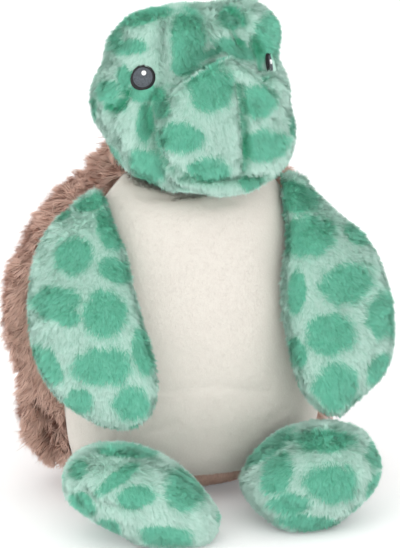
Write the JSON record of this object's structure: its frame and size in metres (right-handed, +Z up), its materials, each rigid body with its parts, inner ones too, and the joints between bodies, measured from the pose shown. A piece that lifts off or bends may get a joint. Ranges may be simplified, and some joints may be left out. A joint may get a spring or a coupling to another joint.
{
  "type": "plush turtle",
  "caption": "Seated stuffed toy turtle with a soft domed shell, cream belly, turned head with stitched eyes, and hanging arms and feet.",
  "frame": {"origin": "middle of the flat seat, on the surface it sits on", "axes": "+Z up, the toy faces -Y, its left side is at +X"},
  "size_m": [0.1857, 0.1723, 0.2543],
  "materials": {
    "cream_plush": "short dense cream pile",
    "brown_plush": "longer dusty pinkish-brown pile",
    "green_plush": "short mint green pile with darker green spots",
    "stuffing": "white polyester fibre",
    "bean_pouch": "woven pouch of beans",
    "grey_thread": "dark grey satin stitch",
    "black_thread": "black stitch",
    "white_thread": "white stitch"
  },
  "bodies": {
    "torso": {"belly_panel": "cream_plush", "seat_panel": "brown_plush", "shell_left": "brown_plush", "shell_right": "brown_plush", "body_stuffing": "stuffing", "bean_pouch": "bean_pouch"},
    "neck": {"neck_plug": "green_plush"},
    "head": {"snout_right": "green_plush", "snout_left": "green_plush", "chin_panel": "green_plush", "forehead_gusset": "green_plush", "head_side_right": "green_plush", "head_side_left": "green_plush", "head_stuffing": "stuffing", "eye_right": "grey_thread", "eye_left": "grey_thread", "eye_outline_right": "black_thread", "eye_outline_left": "black_thread", "eye_glint_right": "white_thread", "eye_glint_left": "white_thread"},
    "arm_right": {"arm_front_right": "green_plush", "arm_back_right": "green_plush", "arm_stuffing_right": "stuffing"},
    "arm_left": {"arm_front_left": "green_plush", "arm_back_left": "green_plush", "arm_stuffing_left": "stuffing"},
    "leg_right": {"foot_sole_right": "green_plush", "foot_upper_right": "green_plush", "foot_stuffing_right": "stuffing"},
    "leg_left": {"foot_sole_left": "green_plush", "foot_upper_left": "green_plush", "foot_stuffing_left": "stuffing"}
  },
  "joints": [
    {"name": "head_turn", "type": "hinge", "parent": "torso", "child": "neck", "pos_m": [0, -0.00968, 0.167], "axis": [0, 0, 1], "range_deg": [-28, 12], "stiffness_Nm_per_rad": 0.25},
    {"name": "head_nod", "type": "hinge", "parent": "neck", "child": "head", "pos_m": [0, -0.00968, 0.167], "axis": [0.9511, 0.309, 0], "range_deg": [-6, 4], "stiffness_Nm_per_rad": 0.8},
    {"name": "arm_right_raise", "type": "hinge", "parent": "torso", "child": "arm_right", "pos_m": [-0.04573, -0.01997, 0.15844], "axis": [-0.853, 0, -0.522], "range_deg": [0, 100]},
    {"name": "arm_left_raise", "type": "hinge", "parent": "torso", "child": "arm_left", "pos_m": [0.04573, -0.01997, 0.15844], "axis": [-0.853, 0, 0.522], "range_deg": [0, 100]},
    {"name": "leg_right_droop", "type": "hinge", "parent": "torso", "child": "leg_right", "pos_m": [-0.03123, -0.03154, 0.00715], "axis": [1, 0, 0], "range_deg": [0, 50]},
    {"name": "leg_left_droop", "type": "hinge", "parent": "torso", "child": "leg_left", "pos_m": [0.03123, -0.03154, 0.00715], "axis": [1, 0, 0], "range_deg": [0, 50]}
  ]
}
